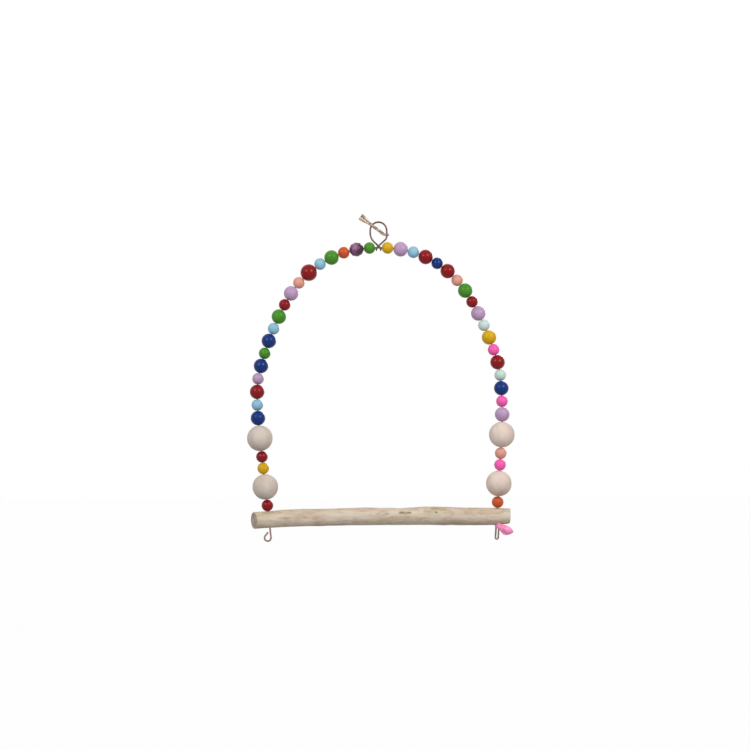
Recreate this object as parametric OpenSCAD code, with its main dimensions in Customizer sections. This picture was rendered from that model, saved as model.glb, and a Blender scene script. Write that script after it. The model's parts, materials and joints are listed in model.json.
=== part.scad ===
/* [Beads] */
// Diameter of a small round bead
small_bead_d = 8; // [7.2:0.2:8.8]
// Diameter of a large round bead
large_bead_d = 10; // [9:0.2:11]
// Diameter of the one oversized bead on the left
odd_bead_d = 11.4; // [10:0.2:12.4]
// Diameter of a plain wooden ball
wood_ball_d = 17.4; // [15:0.2:19]
// Hole through a coloured bead
bead_bore_d = 2.4; // [2.2:0.1:3]
// Hole through a wooden ball
ball_bore_d = 3; // [2.4:0.1:4]
// Width of the flat ring round each hole
bead_rim_w = 0.4; // [0.2:0.1:0.7]
// Space left between two beads on the wire
bead_gap = 0.5; // [0.4:0.05:0.8]
// Sides of the faceted bead
facet_count = 10; // [8:1:12]

/* [Arch wire] */
// Thickness of the bent wire
wire_d = 1.2; // [0.9:0.05:1.3]
// Straight stretch across the top, where the hanging ring sits
top_flat = 7; // [6.4:0.1:9]
// Bend radius of the left half of the crown
left_crown_r = 66.7; // [62:0.1:74]
// Turn of the left half of the crown
left_crown_turn = 61; // [56:0.5:64]
// Bend radius of the left upper side
left_side_r = 205; // [150:1:230]
// Turn of the left upper side
left_side_turn = 15; // [10:0.5:18]
// Bend radius at the widest place on the left
left_hip_r = 50; // [45:1:80]
// Turn at the widest place on the left
left_hip_turn = 13; // [8:0.5:16]
// Bend radius of the left leg
left_leg_r = 252; // [200:1:320]
// Turn of the left leg
left_leg_turn = 7; // [4:0.5:9]
// Bend radius of the right half of the crown
right_crown_r = 66.3; // [62:0.1:74]
// Turn of the right half of the crown
right_crown_turn = 59.5; // [56:0.5:64]
// Bend radius of the right upper side
right_side_r = 195; // [150:1:230]
// Turn of the right upper side
right_side_turn = 14.5; // [10:0.5:18]
// Bend radius at the widest place on the right
right_hip_r = 56; // [45:1:80]
// Turn at the widest place on the right
right_hip_turn = 11.5; // [8:0.5:16]
// Bend radius of the right leg
right_leg_r = 300; // [200:1:320]
// Turn of the right leg
right_leg_turn = 8.5; // [4:0.5:9]
// How far the left end loop hangs under the perch
left_loop_drop = 9; // [8:0.5:13]
// Bend radius of the left end loop
left_loop_r = 2.2; // [1.5:0.1:2.4]
// Length of wire above the left end loop
left_neck = 1; // [0.8:0.1:2]
// How far the right hairpin hangs under the perch
right_loop_drop = 11; // [9:0.5:14]
// Bend radius of the right hairpin
right_loop_r = 0.95; // [0.9:0.05:1.3]

/* [Perch] */
// Thickness of the branch at its left end
perch_left_d = 11.4; // [9:0.1:14]
// Thickness of the branch at its thickest place
perch_thick_d = 12; // [10.6:0.1:14]
// Thickness of the branch at its right end
perch_right_d = 10.4; // [8:0.1:13]
// Branch left of the left wire
left_overhang = 12.8; // [8:0.2:20]
// Branch right of the right wire
right_overhang = 9; // [6:0.2:20]
// Hole for the wire through the branch
perch_bore_d = 2; // [1.9:0.1:2.6]
// Slant of the saw cut at the left end
left_cut_turn = 24; // [0:1:35]
// Broken edge at both ends of the branch
perch_edge = 0.7; // [0.3:0.1:1.2]

/* [Hanging ring] */
// Thickness of the ring's wire
ring_wire_d = 1.2; // [0.9:0.05:1.3]
// Bend radius of the ring's round top
eye_r = 5.6; // [5:0.1:7]
// Straight stretch down the right side of the ring
ring_side = 4; // [3.4:0.1:6]
// Bend radius at the ring's lower right corner
corner_r = 3.4; // [2.6:0.1:4]
// Bend radius at the ring's lower left corner
left_corner_r = 8; // [6:0.1:8.6]
// Turn of the ring's lower corners
corner_turn = 48; // [44:1:54]
// Distance from the middle to each hooked end
hook_offset = 1.45; // [1.3:0.05:1.7]
// Turn of each hooked end round the arch wire
hook_turn = 195; // [180:5:215]

/* [Twist tie] */
// Thickness of one strand of the tie
tie_d = 0.8; // [0.6:0.05:0.9]
// Space between the two strands where they are wound
tie_gap = 0.4; // [0.3:0.05:0.5]
// Length of the twisted stretch
tie_twist_len = 13; // [11:0.5:16]
// Full turns in the twisted stretch
tie_turns = 1.25; // [0.75:0.5:2.25]
// Rise of the tie above level
tie_rise = 37; // [34:1:42]
// Lean of the tie out in front of the ring
tie_lean = 11; // [10:1:14]
// Length of the two flattened ends
tie_tail_len = 7.5; // [6:0.5:11]
// Width of a flattened end at its tip
tie_tail_w = 2; // [1.6:0.1:2.4]
// Thickness of a flattened end
tie_tail_t = 0.5; // [0.4:0.05:0.7]
// Spread of each flattened end from the middle
tie_spread = 4; // [3:0.5:10]
// Height of the tie's fold on the ring's side above the corner
tie_seat = 1; // [0.8:0.1:2]

/* [Ribbon scrap] */
// Thickness of the folded ribbon
ribbon_t = 0.5; // [0.4:0.05:0.7]
// Height of the band round the wire
band_h = 3.6; // [3:0.1:5]
// Reach of the loose tail from the band
tail_reach = 9.6; // [7:0.1:12]
// Droop of the tail's tip
tail_drop = 2.4; // [1:0.1:4]
// Height of the tail at its widest
tail_h = 5.4; // [4:0.1:7]
// Slant of the cut end
tail_slant = 2.1; // [0:0.1:3]

/* [Hidden] */
$fn = 48;
wire_r = wire_d / 2;
ring_r = ring_wire_d / 2;
tie_r = tie_d / 2;
// Room between the ring's hooks and the arch wire, and between tie and ring
link_clear = 0.3;
// Room between the ring's hooks and the beads beside them
hook_side_clear = 0.4;
// Room between the wire's cut ends and what they point at
end_clear = 0.3;
// Room between the ribbon, the wire and the perch
cloth_clear = 0.3;
overrun = 1;
// Runs of wire stop this far short of a join, and a ball this much thicker closes it
joint_short = 0.12;
joint_swell = 0.03;
// Height of the faceted bead's shoulders, in degrees above its middle
facet_shoulder = 40;
// The ribbon's loose tail waves this far to the front
tail_wave = 0.8;

// Bead colours
RED = [0.56, 0.06, 0.08];
YELLOW = [0.85, 0.66, 0.10];
BLUE = [0.08, 0.18, 0.46];
SKY = [0.52, 0.74, 0.84];
GREEN = [0.24, 0.52, 0.15];
LILAC = [0.70, 0.56, 0.72];
PEACH = [0.85, 0.58, 0.50];
ORANGE = [0.80, 0.32, 0.16];
PURPLE = [0.42, 0.22, 0.38];
PINK = [0.93, 0.37, 0.66];
MINT = [0.68, 0.83, 0.75];
WOOD = [0.84, 0.76, 0.68];

// Each side's beads from the ring down to the perch: size, colour name, colour
LEFT_BEADS = [
    ["small", "green", GREEN], ["facet", "purple", PURPLE], ["small", "orange", ORANGE],
    ["large", "green", GREEN], ["small", "sky", SKY], ["odd", "red", RED],
    ["small", "peach", PEACH], ["large", "lilac", LILAC], ["small", "red", RED],
    ["large", "green", GREEN], ["small", "sky", SKY], ["large", "blue", BLUE],
    ["small", "green", GREEN], ["large", "blue", BLUE], ["small", "lilac", LILAC],
    ["large", "red", RED], ["small", "sky", SKY], ["large", "blue", BLUE],
    ["ball", "wood", WOOD], ["small", "red", RED], ["small", "yellow", YELLOW],
    ["ball", "wood", WOOD], ["small", "red", RED]
];
RIGHT_BEADS = [
    ["small", "yellow", YELLOW], ["large", "lilac", LILAC], ["small", "sky", SKY],
    ["large", "red", RED], ["small", "blue", BLUE], ["large", "red", RED],
    ["small", "peach", PEACH], ["large", "green", GREEN], ["small", "red", RED],
    ["large", "lilac", LILAC], ["small", "mint", MINT], ["large", "yellow", YELLOW],
    ["small", "pink", PINK], ["large", "red", RED], ["small", "mint", MINT],
    ["large", "blue", BLUE], ["small", "pink", PINK], ["large", "lilac", LILAC],
    ["ball", "wood", WOOD], ["small", "peach", PEACH], ["small", "pink", PINK],
    ["ball", "wood", WOOD], ["small", "orange", ORANGE]
];

// Sides are -1 on the left and 1 on the right
SIDES = [-1, 1];
function beads(side) = side < 0 ? LEFT_BEADS : RIGHT_BEADS;
function side_word(side) = side < 0 ? "left" : "right";
function two_digits(i) = i < 9 ? str("0", i + 1) : str(i + 1);
function bead_name(side, i) =
    str("bead_", side_word(side), "_", two_digits(i), "_", beads(side)[i][1]);

// Bead sizes
function bead_d(size) =
    size == "small" ? small_bead_d
    : size == "odd" ? odd_bead_d
    : size == "ball" ? wood_ball_d
    : large_bead_d;
function bore_d(size) = size == "ball" ? ball_bore_d : bead_bore_d;
function rim_r(size) = bore_d(size) / 2 + bead_rim_w;
// Length of a bead along its hole, between the two flat rims
function bead_len(size) = 2 * sqrt(pow(bead_d(size) / 2, 2) - pow(rim_r(size), 2));

// Distance along the wire from the middle of the top to each bead's centre
first_bead_s = hook_offset + ring_r + hook_side_clear;
function bead_start(side, i) =
    i == 0 ? first_bead_s
    : bead_start(side, i - 1) + bead_len(beads(side)[i - 1][0]) + bead_gap;
function bead_s(side, i) = bead_start(side, i) + bead_len(beads(side)[i][0]) / 2;
// Distance along the wire to the top of the perch
function foot_s(side) = bead_start(side, len(beads(side)));

// The arch: arcs that run on from each other, from the straight top outwards
LEFT_R = [left_crown_r, left_side_r, left_hip_r, left_leg_r];
RIGHT_R = [right_crown_r, right_side_r, right_hip_r, right_leg_r];
LEFT_TURN = [left_crown_turn, left_side_turn, left_hip_turn, left_leg_turn];
RIGHT_TURN = [right_crown_turn, right_side_turn, right_hip_turn, right_leg_turn];
arc_count = len(LEFT_R);
function arc_r(side, i) = (side < 0 ? LEFT_R : RIGHT_R)[i];
function arc_turn(side, i) = (side < 0 ? LEFT_TURN : RIGHT_TURN)[i];
function arc_len(side, i) = arc_r(side, i) * arc_turn(side, i) * PI / 180;
function turn_before(side, i) =
    i == 0 ? 0 : turn_before(side, i - 1) + arc_turn(side, i - 1);
function s_before(side, i) =
    i == 0 ? top_flat / 2 : s_before(side, i - 1) + arc_len(side, i - 1);
function leg_heading(side) = turn_before(side, arc_count);
// Step along arc i after a turn, as [out, up]
function arc_step(side, i, turn) =
    let (start = turn_before(side, i))
    arc_r(side, i) * [sin(start + turn) - sin(start), cos(start + turn) - cos(start)];
function at_before(side, i) =
    i == 0 ? [top_flat / 2, 0]
    : at_before(side, i - 1) + arc_step(side, i - 1, arc_turn(side, i - 1));
// Direction along the wire in the plane of the arch, as [out, up]
function ahead(heading) = [cos(heading), -sin(heading)];
function piece_at(side, s, i = 0) =
    i == arc_count || s < s_before(side, i + 1) ? i : piece_at(side, s, i + 1);
function heading_at(side, s) =
    let (i = piece_at(side, s))
    s < top_flat / 2 ? 0
    : i == arc_count ? leg_heading(side)
    : turn_before(side, i) + (s - s_before(side, i)) / arc_r(side, i) * 180 / PI;
function point_at(side, s) =
    let (i = piece_at(side, s), heading = heading_at(side, s))
    s < top_flat / 2 ? [s, 0]
    : i == arc_count ? at_before(side, i) + (s - s_before(side, i)) * ahead(heading)
    : at_before(side, i) + arc_step(side, i, heading - turn_before(side, i));

// The ring hangs on a hook at the origin, and the arch turns about its own straight top
function bend_r(side) = side < 0 ? left_corner_r : corner_r;
function corner_out(side) = eye_r - bend_r(side) * (1 - cos(corner_turn));
// Drop of a side of the ring from the eye to the arch wire, without its straight stretch
function side_drop(side) =
    bend_r(side) * sin(corner_turn) + (corner_out(side) + hook_offset) / tan(corner_turn);
swing_z = ring_r - eye_r - ring_side - side_drop(1);
function straight_len(side) = ring_r - eye_r - swing_z - side_drop(side);
hook_r = wire_r + ring_r + link_clear;

// The perch lies on the line between the two legs
function leg_lean(side) = leg_heading(side) - 90;
function foot(side) = point_at(side, foot_s(side));
function perch_mid(side) = foot(side) + perch_r_near(side) * ahead(leg_heading(side));
// Place of the branch's thickest part along it, and its gentle waves as a share of its thickness
thick_share = 0.7;
swell_share = 0.01;
swell_waves = 4;
perch_stations = 40;
function swell_r(share) = swell_share * perch_thick_d / 2 * sin(180 * swell_waves * share);
function perch_r(share) =
    let (
        left = share < thick_share,
        away = left ? 1 - share / thick_share : (share - thick_share) / (1 - thick_share),
        end_d = left ? perch_left_d : perch_right_d
    )
    (end_d + (perch_thick_d - end_d) * (1 + cos(180 * away)) / 2) / 2 + swell_r(share);
// Share of the branch's length where each wire passes, from the overhangs' nominal places
nominal_len = left_overhang + right_overhang + foot(1)[0] + foot(-1)[0];
function hole_share(side) =
    side < 0 ? left_overhang / nominal_len : 1 - right_overhang / nominal_len;
function perch_r_near(side) = perch_r(hole_share(side));
function perch_mid_x(side) = side * perch_mid(side)[0];
hole_span = perch_mid_x(1) - perch_mid_x(-1);
perch_fall = perch_mid(-1)[1] - perch_mid(1)[1];
perch_tilt = atan2(perch_fall, hole_span);
perch_len = left_overhang + hole_span / cos(perch_tilt) + right_overhang;

// Foot of each leg: origin where the wire enters the perch, down along the wire
module at_foot(side) {
    translate([foot(side)[0], 0, swing_z + foot(side)[1]])
        rotate([0, leg_lean(side), 0])
            children();
}

module on_side(side) {
    mirror([side < 0 ? 1 : 0, 0, 0])
        children();
}

// Arc of round wire about the origin, a little short of the join at both ends
module arc_run(bend, turn, r) {
    short = joint_short / bend * 180 / PI;
    rotate([0, 0, short])
        rotate_extrude(angle = turn - 2 * short)
            translate([bend, 0])
                circle(r = r);
}

// The same arc stood up in the XZ plane, starting at a polar angle
module wire_arc(bend, from, turn, r) {
    rotate([90, 0, 0])
        rotate([0, 0, from])
            arc_run(bend, turn, r);
}

module joint(at, r) {
    translate(at)
        sphere(r = r + joint_swell);
}

// Straight wire upwards from a join, a little short of it
module wire_up(length, r) {
    translate([0, 0, joint_short])
        cylinder(h = length - joint_short, r = r);
}

// Straight wire between two joins
module strand(a, b, r) {
    run = b - a;
    length = norm(run);
    joint(a, r);
    joint(b, r);
    translate(a)
        rotate([0, acos(run[2] / length), atan2(run[1], run[0])])
            wire_up(length - joint_short, r);
}

module arch_side(side) {
    for (i = [0:arc_count - 1]) {
        start = turn_before(side, i);
        at = at_before(side, i);
        centre = at - arc_r(side, i) * [sin(start), cos(start)];
        turn = arc_turn(side, i);
        translate([centre[0], 0, swing_z + centre[1]])
            wire_arc(arc_r(side, i), 90 - start - turn, turn, wire_r);
        if (i > 0)
            joint([at[0], 0, swing_z + at[1]], wire_r);
    }
    at_foot(side)
        foot_end(side);
}

// Wire through the perch and its end loop: an open teardrop on the left, a hairpin on the right
module foot_end(side) {
    left = side < 0;
    through = 2 * perch_r_near(side);
    bend = left ? left_loop_r : right_loop_r;
    drop = (left ? left_loop_drop : right_loop_drop) - bend - wire_r;
    side_len = left ? drop - left_neck : drop - end_clear;
    close = left ? 2 * atan(bend / side_len) : 0;
    back = left ? side_len - (wire_d + end_clear) / sin(close) : side_len;
    strand([0, 0, foot_s(side) - s_before(side, arc_count)], [0, 0, -through - drop], wire_r);
    translate([bend, 0, -through - drop]) {
        wire_arc(bend, 180, 180 + close, wire_r);
        rotate([0, -close, 0]) {
            joint([bend, 0, 0], wire_r);
            translate([bend, 0, 0])
                wire_up(back, wire_r);
        }
    }
}

module arch_wire() {
    color([0.40, 0.36, 0.34]) {
        strand([-top_flat / 2, 0, swing_z], [top_flat / 2, 0, swing_z], wire_r);
        for (side = SIDES)
            on_side(side)
                arch_side(side);
    }
}

// The branch, turned about its own axis, with a slanted saw cut and two drilled holes
module perch() {
    outline = concat(
        [[0, 0], [perch_r(0) - perch_edge, 0]],
        [for (k = [0:perch_stations])
            let (share = k / perch_stations)
            [perch_r(share), perch_edge + (perch_len - 2 * perch_edge) * share]],
        [[perch_r(1) - perch_edge, perch_len], [0, perch_len]]
    );
    cut = 2 * perch_left_d;
    color([0.78, 0.70, 0.58])
        difference() {
            translate([perch_mid_x(-1), 0, swing_z + perch_mid(-1)[1]])
                rotate([0, perch_tilt, 0])
                    translate([-left_overhang, 0, 0])
                        difference() {
                            rotate([0, 90, 0])
                                rotate_extrude()
                                    polygon(outline);
                            translate([0, perch_left_d / 2, 0])
                                rotate([0, 0, left_cut_turn])
                                    translate([-cut, -cut, -cut / 2])
                                        cube(cut);
                        }
            for (side = SIDES)
                on_side(side)
                    at_foot(side)
                        translate([0, 0, -2 * perch_r_near(side) - overrun])
                            cylinder(h = 2 * perch_r_near(side) + 2 * overrun, d = perch_bore_d);
        }
}

// One strand of the ring, from a lower corner down to its hook round the arch wire
module ring_half(side) {
    bend = bend_r(side);
    low_z = ring_r - eye_r - straight_len(side);
    corner = [side * corner_out(side), 0, low_z - bend * sin(corner_turn)];
    hook_x = -side * hook_offset;
    strand(corner, [hook_x, -side * hook_r, swing_z], ring_r);
    translate([hook_x, 0, swing_z])
        rotate([0, 0, 90 * side])
            wire_arc(hook_r, 180, hook_turn, ring_r);
    translate([side * (eye_r - bend), 0, low_z])
        on_side(side)
            wire_arc(bend, -corner_turn, corner_turn, ring_r);
    strand([side * eye_r, 0, low_z], [side * eye_r, 0, ring_r - eye_r], ring_r);
}

module hanging_ring() {
    color([0.34, 0.27, 0.25]) {
        translate([0, 0, ring_r - eye_r])
            wire_arc(eye_r, 0, 180, ring_r);
        for (side = SIDES)
            ring_half(side);
    }
}

// Solid through a list of closed outlines, each clockwise seen along the run
module skin(rings) {
    m = len(rings[0]);
    last = len(rings) - 1;
    faces = concat(
        [[for (j = [0:m - 1]) j]],
        [for (k = [0:last - 1], j = [0:m - 1])
            each [
                [m * k + j, m * (k + 1) + j, m * (k + 1) + (j + 1) % m],
                [m * k + j, m * (k + 1) + (j + 1) % m, m * k + (j + 1) % m]
            ]],
        [[for (j = [m - 1:-1:0]) m * last + j]]
    );
    polyhedron([for (ring = rings) each ring], faces);
}

// The tie is one strip: folded round the ring's right side, wound with itself, two flat ends
tie_fold_r = ring_r + tie_r + link_clear;
tie_z = ring_r - eye_r - ring_side + tie_seat;
tie_half = (tie_d + tie_gap) / 2;
tie_root = [-tie_fold_r - tie_r, 0, 0];
tie_sides = 10;
tie_fold_steps = 5;
tie_twist_steps = 22;
tie_tail_steps = 5;
// Directions across and along the twist
TIE_X = [sin(tie_rise), 0, cos(tie_rise)];
TIE_Y = [-sin(tie_lean) * cos(tie_rise), cos(tie_lean), sin(tie_lean) * sin(tie_rise)];
TIE_Z = cross(TIE_X, TIE_Y);
function strand_turn(side, u) = 90 * side - 360 * tie_turns * u;
function strand_out(side, u) =
    cos(strand_turn(side, u)) * TIE_X + sin(strand_turn(side, u)) * TIE_Y;
function strand_flat(side, u) =
    side * (sin(strand_turn(side, u)) * TIE_X - cos(strand_turn(side, u)) * TIE_Y);
function between(a, b, u) = a + (b - a) * u;

// Half of the strip from the fold on: centre, direction of its thickness, half thickness, half width
function tie_half_strip(side) = concat(
    [for (k = [1:tie_fold_steps])
        let (turn = side * 90 * k / tie_fold_steps)
        [tie_fold_r * [cos(turn), sin(turn), 0], [0, 0, 1], tie_r, tie_r]],
    [for (k = [0:tie_twist_steps])
        let (u = k / tie_twist_steps)
        [tie_root + tie_half * strand_out(side, u) + tie_twist_len * u * TIE_Z,
            strand_flat(side, u), tie_r, tie_r]],
    [for (k = [1:tie_tail_steps])
        let (u = k / tie_tail_steps)
        [tie_root + (tie_half + tie_tail_len * u * sin(tie_spread)) * strand_out(side, 1)
                + (tie_twist_len + tie_tail_len * u * cos(tie_spread)) * TIE_Z,
            strand_flat(side, 1), between(tie_r, tie_tail_t / 2, u), between(tie_r, tie_tail_w / 2, u)]]
);

module twist_tie() {
    near = tie_half_strip(-1);
    strip = concat(
        [for (k = [len(near) - 1:-1:0]) near[k]],
        [[[tie_fold_r, 0, 0], [0, 0, 1], tie_r, tie_r]],
        tie_half_strip(1)
    );
    last = len(strip) - 1;
    rings = [
        for (k = [0:last])
            let (
                step = strip[min(k + 1, last)][0] - strip[max(k - 1, 0)][0],
                run = step / norm(step),
                flat = strip[k][1] - (strip[k][1] * run) * run,
                up = flat / norm(flat),
                across = cross(run, up)
            )
            [for (j = [0:tie_sides - 1])
                let (turn = 360 * j / tie_sides)
                strip[k][0] + strip[k][2] * cos(turn) * up + strip[k][3] * sin(turn) * across]
    ];
    color([0.80, 0.62, 0.30])
        translate([eye_r, 0, tie_z])
            skin(rings);
}

module bead_shape(size) {
    d = bead_d(size);
    length = bead_len(size);
    difference() {
        if (size == "facet")
            faceted_ball(d / 2, rim_r(size), length / 2);
        else
            rotate_extrude()
                ball_outline(d, length);
        cylinder(h = length + 2 * overrun, d = bore_d(size), center = true);
    }
}

// Half outline of a ball with a flat at each end
module ball_outline(d, length) {
    intersection() {
        circle(d = d);
        translate([0, -length / 2])
            square([d, length]);
    }
}

// Ball of flat faces in four rows between two flat ends
module faceted_ball(r, end_r, half) {
    shoulder = r * [cos(facet_shoulder), sin(facet_shoulder)];
    rotate_extrude($fn = facet_count)
        polygon([
            [0, -half], [end_r, -half], [shoulder[0], -shoulder[1]],
            [r, 0], shoulder, [end_r, half], [0, half]
        ]);
}

module bead(side, i) {
    s = bead_s(side, i);
    at = point_at(side, s);
    color(beads(side)[i][2])
        on_side(side)
            translate([at[0], 0, swing_z + at[1]])
                rotate([0, 90 + heading_at(side, s), 0])
                    bead_shape(beads(side)[i][0]);
}

// The scrap winds once round the hairpin under the perch and leaves a tail to the right
band_steps = 28;
tail_steps = 14;
band_from = 40;
band_turn = 255;
band_out = right_loop_r + wire_r + cloth_clear + ribbon_t;
band_deep = wire_r + cloth_clear + ribbon_t;
band_growth_share = 0.55;
// Share of the tail's reach over which it opens from the band to its full height
tail_open_share = 0.6;
function band_at(u) =
    let (turn = band_from + band_turn * u, grow = 1 + band_growth_share * u)
    [right_loop_r + band_out * grow * cos(turn), band_deep * grow * sin(turn)];
function tail_at(u) =
    band_at(1) + [tail_reach * u, tail_wave * sin(180 * u) - tail_wave * u];
function tail_h_at(u) = band_h + (tail_h - band_h) * sin(90 * min(1, u / tail_open_share));

module ribbon_scrap() {
    band = [for (k = [0:band_steps]) band_at(k / band_steps)];
    tail = [for (k = [1:tail_steps]) tail_at(k / tail_steps)];
    path = concat(band, tail);
    last = len(path) - 1;
    rings = [
        for (k = [0:last])
            let (
                step = path[min(k + 1, last)] - path[max(k - 1, 0)],
                side = [step[1], -step[0], 0] / norm(step) * ribbon_t / 2,
                u = max(0, k - band_steps) / tail_steps,
                top = [path[k][0], path[k][1], -tail_drop / 2 * u],
                bottom = [
                    path[k][0] + tail_slant * u, path[k][1], -tail_drop * u - tail_h_at(u)
                ]
            )
            [top - side, top + side, bottom + side, bottom - side]
    ];
    color([0.93, 0.45, 0.60])
        at_foot(1)
            translate([0, 0, -2 * perch_r_near(1) - cloth_clear])
                skin(rings);
}

hanging_ring();
twist_tie();
arch_wire();
perch();
ribbon_scrap();
for (side = SIDES, i = [0:len(beads(side)) - 1])
    bead(side, i);
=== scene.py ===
"""The looks of the bird swing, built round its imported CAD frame."""

import json
import math

import bmesh
import bpy
from mathutils import Matrix, Vector, noise


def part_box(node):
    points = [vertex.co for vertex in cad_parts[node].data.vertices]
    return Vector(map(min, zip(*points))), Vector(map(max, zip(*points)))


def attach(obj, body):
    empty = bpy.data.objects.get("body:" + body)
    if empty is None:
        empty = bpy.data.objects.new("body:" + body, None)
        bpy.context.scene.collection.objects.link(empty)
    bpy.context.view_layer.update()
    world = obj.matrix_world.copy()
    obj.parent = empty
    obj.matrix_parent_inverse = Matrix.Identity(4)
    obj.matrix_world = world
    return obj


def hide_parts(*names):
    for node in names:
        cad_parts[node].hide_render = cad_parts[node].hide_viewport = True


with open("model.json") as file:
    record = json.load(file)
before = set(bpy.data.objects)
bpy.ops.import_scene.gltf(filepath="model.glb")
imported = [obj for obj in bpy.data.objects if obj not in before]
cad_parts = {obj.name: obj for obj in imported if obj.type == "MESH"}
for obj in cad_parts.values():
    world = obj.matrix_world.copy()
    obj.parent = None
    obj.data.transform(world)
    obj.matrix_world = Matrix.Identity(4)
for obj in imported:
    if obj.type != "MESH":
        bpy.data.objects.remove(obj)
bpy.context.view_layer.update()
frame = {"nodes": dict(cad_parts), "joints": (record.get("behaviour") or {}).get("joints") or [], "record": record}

MM = 0.001
JOINTS = {joint["name"]: joint for joint in frame["joints"]}
BODY_OF = {
    node: body
    for body, nodes in frame["record"]["behaviour"]["bodies"].items()
    for node in nodes
}
SWING_Z = JOINTS["swing"]["pos_m"][2] / MM

# Sizes in millimetres and degrees, as in the part's source,
# but for the scene's own DRESSED_RIM, BALL_OVER and PERCH_BOW
WIRE_R = 0.6
RING_R = 0.6
TOP_FLAT = 7.0
ARCS = {
    -1: ((66.7, 61.0), (205.0, 15.0), (50.0, 13.0), (252.0, 7.0)),
    1: ((66.3, 59.5), (195.0, 14.5), (56.0, 11.5), (300.0, 8.5)),
}
BEAD_GAP = 0.5
RIM = 0.4
DRESSED_RIM = 0.26
BEAD_BORE = 2.4
BALL_BORE = 3.0
BALL_OVER = 15.0
LOOPS = {-1: (9.0, 2.2, 1.0), 1: (11.0, 0.95, 0.0)}
CLEAR = 0.3
EYE_R = 5.6
RING_SIDE = 4.0
CORNER_R = {-1: 8.0, 1: 3.4}
CORNER_TURN = 48.0
HOOK_OFFSET = 1.45
HOOK_TURN = 195.0
PERCH_D = (11.4, 10.4)
PERCH_THICK = (12.0, 0.7)
OVERHANG = (12.8, 9.0)
CUT_TURN = 24.0
PERCH_BORE = 2.0
SWELL = 0.01
SWELL_WAVES = 4
PERCH_BOW = 1.2
TIE_D = 0.8
TIE_GAP = 0.4
TIE_TWIST_LEN = 13.0
TIE_TURNS = 1.25
TIE_RISE = 37.0
TIE_LEAN = 11.0
TIE_TAIL_LEN = 7.5
TIE_TAIL_W = 2.0
TIE_SPREAD = 4.0
TIE_SEAT = 1.0


def cosd(turn):
    return math.cos(math.radians(turn))


def sind(turn):
    return math.sin(math.radians(turn))


def lerp(a, b, share):
    return a + (b - a) * share


def smooth_step(share):
    share = min(1.0, max(0.0, share))
    return share * share * (3 - 2 * share)


# Meshes

def make_piece(name, verts, faces, node, material, smooth=True):
    """A piece in millimetres that stands for a CAD node and rides on its body."""
    mesh = bpy.data.meshes.new(name)
    mesh.from_pydata([Vector(v) * MM for v in verts], [], faces)
    work = bmesh.new()
    work.from_mesh(mesh)
    bmesh.ops.recalc_face_normals(work, faces=work.faces)
    work.to_mesh(mesh)
    work.free()
    for face in mesh.polygons:
        face.use_smooth = smooth
    mesh.materials.append(material)
    piece = bpy.data.objects.new(name, mesh)
    bpy.context.scene.collection.objects.link(piece)
    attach(piece, BODY_OF[node])
    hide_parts(node)
    return piece


def loft(rings, caps=True):
    """Verts and faces through closed rings of as many points each."""
    count = len(rings[0])
    verts = [p for ring in rings for p in ring]
    faces = []
    for k in range(len(rings) - 1):
        for j in range(count):
            a, b = k * count + j, k * count + (j + 1) % count
            faces.append((a, b, b + count, a + count))
    if caps:
        faces.append(tuple(range(count))[::-1])
        faces.append(tuple(range(len(verts) - count, len(verts))))
    return verts, faces


def sweep(points, outline, hints=None):
    """Rings along a line. outline(k) gives (along the hint, across it) pairs at point k."""
    last = len(points) - 1
    flat = Vector((0, 1, 0))
    rings = []
    for k, point in enumerate(points):
        run = (points[min(k + 1, last)] - points[max(k - 1, 0)]).normalized()
        hint = hints[k] if hints else flat
        flat = (hint - hint.dot(run) * run).normalized()
        across = run.cross(flat)
        rings.append([point + flat * u + across * v for u, v in outline(k)])
    return loft(rings)


def wire(points, radius, sides=20, chamfer=0.12):
    """A round wire with broken edges at its two cut ends."""
    first, second = points[0], points[1]
    run = (second - first).normalized() * chamfer
    back = (points[-1] - points[-2]).normalized() * chamfer
    line = [first, first + run] + points[1:-1] + [points[-1] - back, points[-1]]
    last = len(line) - 1
    circle = [(cosd(360 * j / sides), sind(360 * j / sides)) for j in range(sides)]

    def outline(k):
        r = radius - chamfer if k in (0, last) else radius
        return [(r * u, r * v) for u, v in circle]

    return sweep(line, outline)


def smoothed(points, passes):
    """Points whose inner ones are averaged with their neighbours, a number of times."""
    for _ in range(passes):
        points = [points[0]] + [
            (points[k - 1] + points[k] * 2 + points[k + 1]) / 4 for k in range(1, len(points) - 1)
        ] + [points[-1]]
    return points


# The arch wire's line, and where each leg meets the perch

def turtle(runs, step):
    """Points [out, up] of straights ("go", length) and bends ("bend", radius, turn)."""
    at = Vector((0.0, 0.0))
    heading = 0.0
    points = [at.copy()]
    for run in runs:
        if run[0] == "go":
            ahead = Vector((cosd(heading), -sind(heading))) * run[1]
            count = max(1, int(run[1] / step))
            points += [at + ahead * (k / count) for k in range(1, count + 1)]
        else:
            radius, turn = run[1], run[2]
            side = 1 if turn > 0 else -1
            count = max(2, int(math.radians(abs(turn)) * radius / step), int(abs(turn) / 9))
            start = Vector((sind(heading), cosd(heading)))
            for k in range(1, count + 1):
                now = heading + turn * k / count
                points.append(at + (Vector((sind(now), cosd(now))) - start) * radius * side)
            heading += turn
        at = points[-1].copy()
    return points


def bead_nodes(side):
    start = "bead_left_" if side < 0 else "bead_right_"
    return sorted(node for node in frame["nodes"] if node.startswith(start))


def bead_joint(node):
    return JOINTS["spin_" + "_".join(node.split("_")[1:3])]


def length_at(size, rim):
    """Length of a ball between two flats whose edge has the radius rim."""
    return 2 * math.sqrt((size / 2) ** 2 - rim ** 2)


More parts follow.
